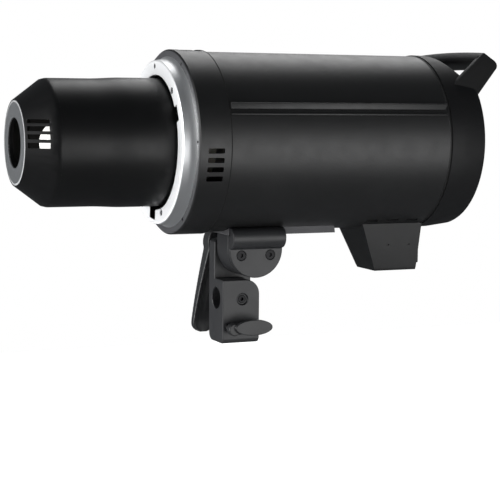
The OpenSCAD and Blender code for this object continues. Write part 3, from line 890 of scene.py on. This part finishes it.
def fused(
    work: bmesh.types.BMesh, voxel: float, rounds: int, name: str, body: str, look: Look
) -> bpy.types.Object:
    """Melts overlapping solids into one cast form.

    Args:
        work: The overlapping closed solids, in metres; it is freed.
        voxel: The grid's pitch, in millimetres.
        rounds: How often the result is smoothed.
        name: The piece's name.
        body: The body it moves with.
        look: Its finish.

    Returns:
        The piece.
    """
    bmesh.ops.recalc_face_normals(work, faces=work.faces)
    mesh = bpy.data.meshes.new(name + "_raw")
    work.to_mesh(mesh)
    work.free()
    raw = bpy.data.objects.new(name + "_raw", mesh)
    bpy.context.scene.collection.objects.link(raw)
    grid = raw.modifiers.new("melt", "REMESH")
    grid.mode = "VOXEL"
    grid.voxel_size = voxel * MM
    relax = raw.modifiers.new("relax", "SMOOTH")
    relax.iterations = rounds
    relax.factor = 0.5
    bpy.context.view_layer.update()
    view = raw.evaluated_get(bpy.context.evaluated_depsgraph_get())
    cast = bmesh.new()
    cast.from_mesh(view.to_mesh())
    bpy.data.objects.remove(raw)
    return finish_piece(cast, name, body, look, 60.0)


# ---------------------------------------------------------------- the head
# Sizes and places in the classes below are in millimetres, in the shared frame.


@dataclass
class Casing:
    """The two casing halves, the front shell and the rear cap."""

    nodes: dict[str, bpy.types.Object]
    edge: float = 0.35
    radius: float = 66.0
    shell_radius: float = 67.2
    front_seam: float = -29.5
    rear_seam: float = 146.85
    seam_width: float = 0.75
    lip_y: float = 145.5
    bead_start: float = -29.3
    bead_end: float = 144.2
    bead_top: float = 178.7
    bead_slant: float = 0.55

    def build(self) -> None:
        """Dresses the mouldings."""
        dress(self.nodes, Look.CASING, "upper_casing", "lower_casing")
        dress(self.nodes, Look.BACK, "rear_cap")
        dress(self.nodes, Look.SHELL, "front_shell")
        dress(self.nodes, Look.BLACK_STEEL, "casing_screws", "rear_cap_screws", "handle_screws")
        soften(self.nodes, self.edge, "upper_casing", "lower_casing", "front_shell", "rear_cap")
        self.seams()
        self.beads()

    def seams(self) -> None:
        """Adds the shadow gaps where the shell and the rear cap meet the casing."""
        work = bmesh.new()
        gaps = ((self.shell_radius + 0.08, self.front_seam), (self.radius + 0.12, self.rear_seam))
        for rim, end in gaps:
            start = end - self.seam_width
            profile = [
                (rim - 0.5, start), (rim, start + 0.05), (rim, end - 0.05), (rim - 0.5, end),
            ]
            turned(work, profile)
        # Painted shadow: these near-black rings stand in for the shade in the seams.
        finish_piece(work, "seam_gap_shadows", "head", Look.DARK, 40.0)
        work = bmesh.new()
        lip = [
            (self.radius - 0.3 + 0.6 * math.sin(a), self.lip_y - 0.55 * math.cos(a))
            for a in [math.pi * k / 6 for k in range(7)]
        ]
        turned(work, lip)
        finish_piece(work, "casing_rear_lip", "head", Look.CASING, 40.0)

    def beads(self) -> None:
        """Adds the raised bead and the thin line along each side of the split."""
        work = bmesh.new()
        for side in (-1.0, 1.0):
            bead = [
                (61.0, 178.4), (62.6, self.bead_top), (63.25, 178.3),
                (63.3, 174.4), (63.0, 173.8), (61.6, 173.6),
            ]
            line = [(63.0, 171.4), (64.3, 171.3), (64.45, 170.0), (63.2, 169.6)]
            for outline, end in ((bead, self.bead_end), (line, self.bead_end - 0.4)):
                outline = [(side * x, z) for x, z in outline]
                slab(work, outline, (self.bead_start, end), Along.Y)
        for corner in work.verts:
            if corner.co.y > (self.bead_end - 0.2) * MM:
                corner.co.y -= (self.bead_top * MM - corner.co.z) * self.bead_slant
        bevel_all(work, 0.25, 2, 25.0)
        finish_piece(work, "casing_beads", "head", Look.CASING, 30.0)


@dataclass
class Bayonet:
    """The bayonet ring, its screws and the release."""

    nodes: dict[str, bpy.types.Object]
    edge: float = 0.3
    coil_radius: float = 1.6
    wire: float = 0.28
    turns: int = 7
    coil_start: float = -41.35
    coil_end: float = -31.5
    coil_height: float = 58.4

    def build(self) -> None:
        """Dresses the ring and winds the release spring."""
        dress(self.nodes, Look.RING, "bayonet_ring")
        dress(self.nodes, Look.STEEL, "bayonet_screws")
        dress(self.nodes, Look.PANEL, "release_slider")
        soften(self.nodes, self.edge, "bayonet_ring", "release_slider")
        self.spring()

    def spring(self) -> None:
        """Winds the coil spring behind the release slider."""
        work = bmesh.new()
        steps = self.turns * 16
        rings = []
        for i in range(steps + 1):
            t = 2 * math.pi * self.turns * i / steps
            y = self.coil_start + (self.coil_end - self.coil_start) * i / steps
            out = Vector((math.cos(t), 0.0, math.sin(t)))
            centre = Vector((0.0, y, AXIS_Z + self.coil_height)) + out * self.coil_radius
            ring = [
                (centre + (out * math.cos(a) + Vector((0, 1, 0)) * math.sin(a)) * self.wire) * MM
                for a in [2 * math.pi * k / 8 for k in range(8)]
            ]
            rings.append(ring)
        loft(work, rings)
        piece = finish_piece(work, "release_coil", "head", Look.STEEL, 60.0)
        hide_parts("release_spring")
        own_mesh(piece)


@dataclass
class Handle:
    """The carrying handle: two flat arms and a crowned grip in one moulding."""

    outer: float = 50.0
    thick: float = 5.0
    crown: float = 1.2
    stations: int = 24
    arm: tuple[Point2, ...] = (
        (182.3, 217.4), (192.2, 211.2), (193.8, 209.4), (194.4, 207.4), (193.9, 205.6),
        (178.4, 185.9), (170.0, 174.8), (153.0, 189.9), (162.5, 198.8),
    )
    grip: tuple[Point2, ...] = (
        (182.6, 217.2), (187.6, 214.1), (192.0, 211.1), (193.6, 209.3), (194.1, 207.3),
        (193.4, 205.4), (191.9, 203.7), (188.6, 203.7), (183.2, 207.2), (180.2, 209.6),
        (179.9, 211.0), (177.6, 211.4), (177.3, 212.7), (178.4, 214.2),
    )

    def build(self) -> None:
        """Builds the arms and the grip."""
        work = bmesh.new()
        for side in (-1.0, 1.0):
            span = (side * self.outer, side * (self.outer - self.thick))
            slab(work, self.arm, span)
        bevel_all(work, 0.7, 3, 25.0)
        self.add_grip(work)
        piece = finish_piece(work, "handle_moulding", "head", Look.GRIP, 40.0)
        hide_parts("handle")

    def add_grip(self, work: bmesh.types.BMesh) -> None:
        """Adds the grip, which rises a little in the middle.

        Args:
            work: The mesh that takes the faces.
        """
        reach = self.outer - self.thick / 2
        rings = []
        for i in range(self.stations + 1):
            x = reach * (2.0 * i / self.stations - 1.0)
            lift = self.crown * (1.0 - (x / reach) ** 2)
            rings.append(metres([(x, y, z + lift) for y, z in self.grip]))
        loft(work, rings)


@dataclass
class RearPanel:
    """The rear panel with its controls, its sockets and its printed scale."""

    nodes: dict[str, bpy.types.Object]
    face: float = 172.5
    dial: Point2 = (0.0, AXIS_Z - 22.0)
    ticks: int = 21
    sweep: float = 270.0

    def build(self) -> None:
        """Dresses the controls and adds the bezel, the scale and the pointer."""
        dress(self.nodes, Look.PANEL, "rear_panel", "power_rocker", "rocker_housing")
        buttons = [f"menu_button_{i}" for i in range(1, 5)]
        dress(self.nodes, Look.BUTTON, "control_dial", *buttons)
        dress(self.nodes, Look.RED, "test_button")
        dress(self.nodes, Look.WINDOW, "display_window")
        dress(self.nodes, Look.STEEL, "sync_jack")
        dress(self.nodes, Look.SENSOR, "slave_sensor_dome")
        soften(self.nodes, 0.45, "control_dial", "test_button", *buttons)
        soften(self.nodes, 0.3, "power_rocker", "sync_jack")
        self.bezel()
        self.scale()
        self.pointer()
        self.power_marks()

    def bezel(self) -> None:
        """Adds the raised frame round the display."""
        centre = (0.0, AXIS_Z + 19.0)
        work = bmesh.new()
        outer = oblong(centre, (55.0, 24.0), 3.2, 6)
        inner = oblong(centre, (49.4, 18.4), 1.6, 6)
        rings = [
            [(x, self.face + 0.05, z) for x, z in outer],
            [(x, self.face + 0.7, z) for x, z in oblong(centre, (54.4, 23.4), 3.0, 6)],
            [(x, self.face + 1.0, z) for x, z in oblong(centre, (53.2, 22.2), 2.6, 6)],
            [(x, self.face + 1.0, z) for x, z in oblong(centre, (50.6, 19.6), 1.9, 6)],
            [(x, self.face + 0.5, z) for x, z in inner],
            [(x, self.face + 0.05, z) for x, z in inner],
        ]
        self.closed_rings(work, rings)
        finish_piece(work, "display_bezel", "head", Look.PANEL, 50.0)

    @staticmethod
    def closed_rings(work: bmesh.types.BMesh, rings: Sequence[Sequence[Point3]]) -> None:
        """Skins rings into a closed frame, the last back to the first.

        Args:
            work: The mesh that takes the faces.
            rings: Closed rings of points, in millimetres.
        """
        rows = [[work.verts.new(p) for p in metres(ring)] for ring in rings]
        count = len(rows[0])
        for low, high in zip(rows, rows[1:] + rows[:1]):
            for i in range(count):
                j = (i + 1) % count
                work.faces.new((low[i], low[j], high[j], high[i]))

    def scale(self) -> None:
        """Adds the ring of ticks round the dial."""
        work = bmesh.new()
        for i in range(self.ticks):
            turn = math.radians(-90 - self.sweep / 2 + self.sweep * i / (self.ticks - 1) + 180)
            long = i % 5 == 0
            low, high = 13.4, 15.6 if long else 14.8
            half = 0.32 if long else 0.2
            out = Vector((math.cos(turn), math.sin(turn)))
            side = Vector((-out.y, out.x))
            ends = ((low, -half), (high, -half), (high, half), (low, half))
            corners = [out * r + side * s for r, s in ends]
            outline = [(self.dial[0] + c.x, self.dial[1] + c.y) for c in corners]
            slab(work, outline, (self.face + 0.01, self.face + 0.12), Along.Y)
        finish_piece(work, "dial_scale", "head", Look.MARK)

    def pointer(self) -> None:
        """Adds the white pointer let into the dial's face."""
        work = bmesh.new()
        outline = oblong((self.dial[0], self.dial[1] + 7.2), (1.2, 6.0), 0.55, 4)
        slab(work, outline, (self.face + 10.96, self.face + 11.12), Along.Y)
        finish_piece(work, "dial_pointer", "dial", Look.MARK)

    def power_marks(self) -> None:
        """Adds the bar on the power rocker's upper end."""
        work = bmesh.new()
        x, z = 30.0, AXIS_Z - 22.0
        slab(work, oblong((x, z + 5.4), (0.8, 3.4), 0.3, 3), (173.25, 173.38), Along.Y)
        finish_piece(work, "rocker_mark", "rocker", Look.MARK)


@dataclass
class LightSource:
    """The flash tube, the modelling lamp and what holds them."""

    nodes: dict[str, bpy.types.Object]

    def build(self) -> None:
        """Dresses the nodes."""
        dress(self.nodes, Look.REFLECTOR, "reflector_pan")
        dress(self.nodes, Look.CLEAR, "flash_tube")
        dress(self.nodes, Look.LAMP, "modelling_lamp")
        dress(self.nodes, Look.CERAMIC, "tube_base", "lamp_socket")


@dataclass
class Inside:
    """The chassis, the capacitors, the boards and the fan."""

    nodes: dict[str, bpy.types.Object]

    def build(self) -> None:
        """Dresses the nodes."""
        dress(self.nodes, Look.RAIL, "chassis_plate", "heat_sink", "capacitor_strap")
        dress(self.nodes, Look.SLEEVE, "capacitor_bank")
        dress(self.nodes, Look.BOARD, "power_board", "control_board")
        dress(self.nodes, Look.COPPER, "transformer", "trigger_coil")
        dress(self.nodes, Look.PANEL, "fan_frame", "fan_rotor")


@dataclass
class PowerFoot:
    """The power foot with the mains inlet, and the balance rail."""

    nodes: dict[str, bpy.types.Object]
    blades: tuple[Point2, ...] = ((-7.0, 69.4), (0.0, 72.6), (7.0, 69.4))

    def build(self) -> None:
        """Dresses the foot and the rail and adds the inlet's contact blades."""
        dress(self.nodes, Look.SHELL, "foot_housing")
        dress(self.nodes, Look.PANEL, "ac_inlet", "fuse_drawer")
        dress(self.nodes, Look.RAIL, "balance_rail")
        dress(self.nodes, Look.STEEL, "rail_screws", "foot_screws")
        soften(self.nodes, 0.8, "foot_housing")
        soften(self.nodes, 0.3, "balance_rail", "ac_inlet", "fuse_drawer")
        work = bmesh.new()
        for x, z in self.blades:
            slab(work, oblong((x, z), (2.0, 4.2), 0.5, 3), (128.5, 143.5), Along.Y)
        bevel_all(work, 0.25, 2)
        finish_piece(work, "contact_blades", "head", Look.STEEL)


@dataclass
class TransitCap:
    """The cap that protects the lamp, locked in the bayonet."""

    nodes: dict[str, bpy.types.Object]
    barrel: float = 45.46
    swell: float = 0.92

    def build(self) -> None:
        """Dresses the cap and its face ring."""
        dress(self.nodes, Look.CAP, "cap_shell")
        dress(self.nodes, Look.CAP_FACE, "cap_face_ring")
        soften(self.nodes, 0.4, "cap_shell")
        soften(self.nodes, 0.6, "cap_face_ring", clamp=False)
        work = bmesh.new()
        outer = [(self.barrel, -144.2)]
        for i in range(13):
            t = i / 12
            rise = t * t * (3.0 - 2.0 * t) * self.swell
            outer.append((self.barrel + rise, -114.0 + 24.0 * t))
        outer += [(self.barrel + self.swell, -66.0), (self.barrel + 0.25, -53.4)]
        inner = [(r - 0.12, y) for r, y in reversed(outer)]
        turned(work, outer + inner)
        finish_piece(work, "cap_skin", "cap", Look.CAP, 40.0)
        self.lip()

    def lip(self) -> None:
        """Adds the chamfer round the grey face, coloured light grey as a painted highlight along
        its rim.
        """
        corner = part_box("cap_face_ring")
        rim, front = corner[1][0] / MM, corner[0][1] / MM
        work = bmesh.new()
        chamfer = [
            (rim - 0.3, front + 0.3), (rim - 0.3, front - 0.1), (rim + 0.3, front - 0.12),
            (rim + 0.9, front + 0.05), (rim + 1.5, front + 0.45), (rim + 1.95, front + 1.0),
            (rim + 1.8, front + 1.3), (rim + 0.8, front + 1.0),
        ]
        turned(work, chamfer)
        # Painted highlight: the chamfer's light grey stands in for the bright edge that light
        # draws on the rim.
        finish_piece(work, "cap_face_rim_highlight", "cap", Look.CAP_RIM_HIGHLIGHT, 40.0)


@dataclass
class Bracket:
    """The stand block, the tilting clamp and their two locks."""

    nodes: dict[str, bpy.types.Object]
    hub: Point2 = (7.7, 70.8)
    hub_radius: float = 15.6
    neck_radius: float = 9.0
    blade_foot: float = 0.9
    blade_length: float = 65.3
    blade_far: float = -46.0
    blade_near: float = -39.6
    rows: int = 22
    pin: Point2 = (-9.4, 12.0)
    boss: Point2 = (-5.5, 12.4)
    paddle: Point2 = (5.2, 13.3)
    paddle_half: Point2 = (14.7, 5.8)

    def build(self) -> None:
        """Dresses the bracket and casts its two levers."""
        dress(self.nodes, Look.BRACKET, "stand_block", "tilt_quadrant", "jaw_plate")
        dress(self.nodes, Look.BLACK_STEEL, "jaw_screws", "cross_set_screw", "lever_cap")
        dress(self.nodes, Look.STEEL, "tilt_bolt", "friction_washer", "cam_pin")
        soften(self.nodes, 0.7, "stand_block", "jaw_plate", clamp=False)
        soften(self.nodes, 0.5, "tilt_quadrant", clamp=False)
        self.tilt_lever()
        self.stand_paddle()

    def tilt_lever(self) -> None:
        """Casts the tilt lock's lever with its scooped near face."""
        work = bmesh.new()
        slab(work, arc(self.hub, self.hub_radius, 0.0, 360.0, 48)[:-1], (-45.6, -33.2))
        slab(work, arc(self.hub, self.neck_radius, 0.0, 360.0, 40)[:-1], (-40.0, -14.6))
        far = self.blade_far
        rings = []
        for i in range(self.rows + 1):
            t = (i / self.rows) ** 1.35
            z = self.blade_foot + self.blade_length * t
            front = -18.3 + 10.9 * t ** 1.25
            rear = 0.6 + 14.4 * t ** 1.6
            near = self.blade_near + 6.4 * t ** 1.3
            dip = (near - far) * 0.42 * math.sin(math.pi * min(1.0, 0.06 + t * 0.92)) ** 0.7
            pinch = math.sqrt(1.0 - max(0.0, 1.0 - t / 0.12) ** 2 * 0.93)
            mid = (front + rear) / 2
            half = (rear - front) / 2 * pinch
            ring = [
                (far + 1.2, mid - half, z), (near - 0.4, mid - half, z),
                (near, mid - half * 0.86, z), (near - dip * 0.75, mid - half * 0.5, z),
                (near - dip, mid, z), (near - dip * 0.75, mid + half * 0.5, z),
                (near, mid + half * 0.86, z), (near - 0.4, mid + half, z),
                (far + 1.2, mid + half, z), (far, mid + half * 0.8, z),
                (far, mid, z), (far, mid - half * 0.8, z),
            ]
            rings.append(metres(ring))
        loft(work, rings)
        piece = fused(work, 0.55, 5, "tilt_lock_lever", "tilt_lock", Look.LEVER)
        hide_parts("tilt_lever")

    def stand_paddle(self) -> None:
        """Casts the stand lock's oval paddle and the boss on its shaft."""
        work = bmesh.new()
        wide, tall = self.paddle_half
        turns = [math.radians(a) for a in range(0, 360, 6)]
        oval = [
            (self.paddle[0] + wide * math.cos(t), self.paddle[1] + tall * math.sin(t))
            for t in turns
        ]
        slab(work, oval, (24.2, 27.7))
        slab(work, arc(self.pin, 4.5, 0.0, 360.0, 32)[:-1], (19.3, 25.5))
        slab(work, arc(self.boss, 4.0, 0.0, 360.0, 32)[:-1], (21.2, 25.5))
        piece = fused(work, 0.4, 4, "stand_lock_paddle", "stand_lock", Look.LEVER)
        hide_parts("stand_lock_lever")


# ---------------------------------------------------------------- studio


@dataclass
class Softbox:
    """One soft area light aimed at a point."""

    name: str
    place: Point3
    aim: Point3
    size: Point2
    power: float

    def build(self) -> None:
        """Adds the light."""
        lamp = bpy.data.lights.new(self.name, "AREA")
        lamp.shape = "RECTANGLE"
        lamp.size, lamp.size_y = self.size
        lamp.energy = self.power
        holder = bpy.data.objects.new(self.name, lamp)
        holder.location = self.place
        aim = Vector(self.aim) - Vector(self.place)
        holder.rotation_euler = aim.to_track_quat("-Z", "Y").to_euler()
        holder.visible_camera = False
        bpy.context.scene.collection.objects.link(holder)


@dataclass
class Studio:
    """The floor, the lights, the surround and the camera."""

    centre: Point3 = (0.0, 0.0, 0.13)
    floor_z: float = -0.6
    camera_place: Point3 = (0.99008, -0.40962, 0.18054)
    yaw: float = 66.898
    pitch: float = -5.970
    roll: float = 0.4955
    lens: float = 103.61
    floor_half: float = 3.3

    def build(self) -> None:
        """Builds the whole studio."""
        view = bpy.context.scene.view_settings
        view.view_transform = "Standard"
        view.look = "None"
        self.floor()
        self.surround()
        self.lights()
        self.camera()

    def floor(self) -> None:
        """Lays the plain pale floor."""
        work = bmesh.new()
        half = self.floor_half
        corners = [(-half, -half), (half, -half), (half, half), (-half, half)]
        work.faces.new([work.verts.new((x, y, self.floor_z)) for x, y in corners])
        mesh = bpy.data.meshes.new("studio_floor")
        work.to_mesh(mesh)
        work.free()
        paint = Paint("studio_floor")
        haze = paint.noise(paint.place(), 3.0, 2.0)
        paint.feed("Base Color", paint.tint(haze, (0.88, 0.88, 0.88), (0.9, 0.9, 0.9)))
        paint.feed("Roughness", 0.9)
        mesh.materials.append(paint.material)
        plane = bpy.data.objects.new("studio_floor", mesh)
        bpy.context.scene.collection.objects.link(plane)
        plane.visible_glossy = False

    def surround(self) -> None:
        """Sets the white surround, which is dim to everything but the eye."""
        world = bpy.data.worlds.new("studio_surround")
        bpy.context.scene.world = world
        world.use_nodes = True
        tree = world.node_tree
        tree.nodes.clear()
        path = tree.nodes.new("ShaderNodeLightPath")
        white = tree.nodes.new("ShaderNodeBackground")
        white.inputs[0].default_value = (1.0, 1.0, 1.0, 1.0)
        white.inputs[1].default_value = 1.0
        dim = tree.nodes.new("ShaderNodeBackground")
        dim.inputs[0].default_value = (0.9, 0.95, 1.0, 1.0)
        dim.inputs[1].default_value = 0.1
        mix = tree.nodes.new("ShaderNodeMixShader")
        out = tree.nodes.new("ShaderNodeOutputWorld")
        tree.links.new(path.outputs["Is Camera Ray"], mix.inputs[0])
        tree.links.new(dim.outputs[0], mix.inputs[1])
        tree.links.new(white.outputs[0], mix.inputs[2])
        tree.links.new(mix.outputs[0], out.inputs[0])

    def lights(self) -> None:
        """Hangs the softboxes."""
        boxes = (
            Softbox("side_box", (1.46, 0.62, -0.1), self.centre, (1.1, 0.9), 11.0),
            Softbox("back_box", (-1.56, 1.01, 1.95), self.centre, (1.3, 2.0), 22.0),
            Softbox("key_box", (-0.12, -1.75, 0.35), self.centre, (1.0, 1.0), 46.0),
            Softbox("floor_glow", (0.0, 0.0, -0.3), (0.0, 0.0, self.floor_z), (7.0, 7.0), 270.0),
        )
        for box in boxes:
            box.build()

    def camera(self) -> None:
        """Sets the camera."""
        yaw, pitch, roll = (math.radians(v) for v in (self.yaw, self.pitch, self.roll))
        ahead = Vector(
            (-math.cos(pitch) * math.sin(yaw), math.cos(pitch) * math.cos(yaw), math.sin(pitch))
        )
        right = ahead.cross(Vector((0.0, 0.0, 1.0))).normalized()
        up = right.cross(ahead)
        across = right * math.cos(roll) + up * math.sin(roll)
        above = up * math.cos(roll) - right * math.sin(roll)
        turn = Matrix((across, above, -ahead)).transposed().to_4x4()
        lens = bpy.data.cameras.new("studio_camera")
        lens.lens = self.lens
        lens.sensor_width = 36.0
        lens.clip_start = 0.05
        eye = bpy.data.objects.new("studio_camera", lens)
        eye.matrix_world = Matrix.Translation(Vector(self.camera_place)) @ turn
        bpy.context.scene.collection.objects.link(eye)
        bpy.context.scene.camera = eye


def main() -> None:
    """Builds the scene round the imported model."""
    logging.basicConfig(level=logging.INFO, format="%(message)s")
    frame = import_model()
    nodes = frame["nodes"]
    pieces: tuple[Any, ...] = (
        Casing(nodes), Bayonet(nodes), Handle(), RearPanel(nodes), LightSource(nodes),
        Inside(nodes), PowerFoot(nodes), TransitCap(nodes), Bracket(nodes), Studio(),
    )
    for piece in pieces:
        LOG.info("building %s", type(piece).__name__)
        piece.build()


if __name__ == "__main__":
    main()
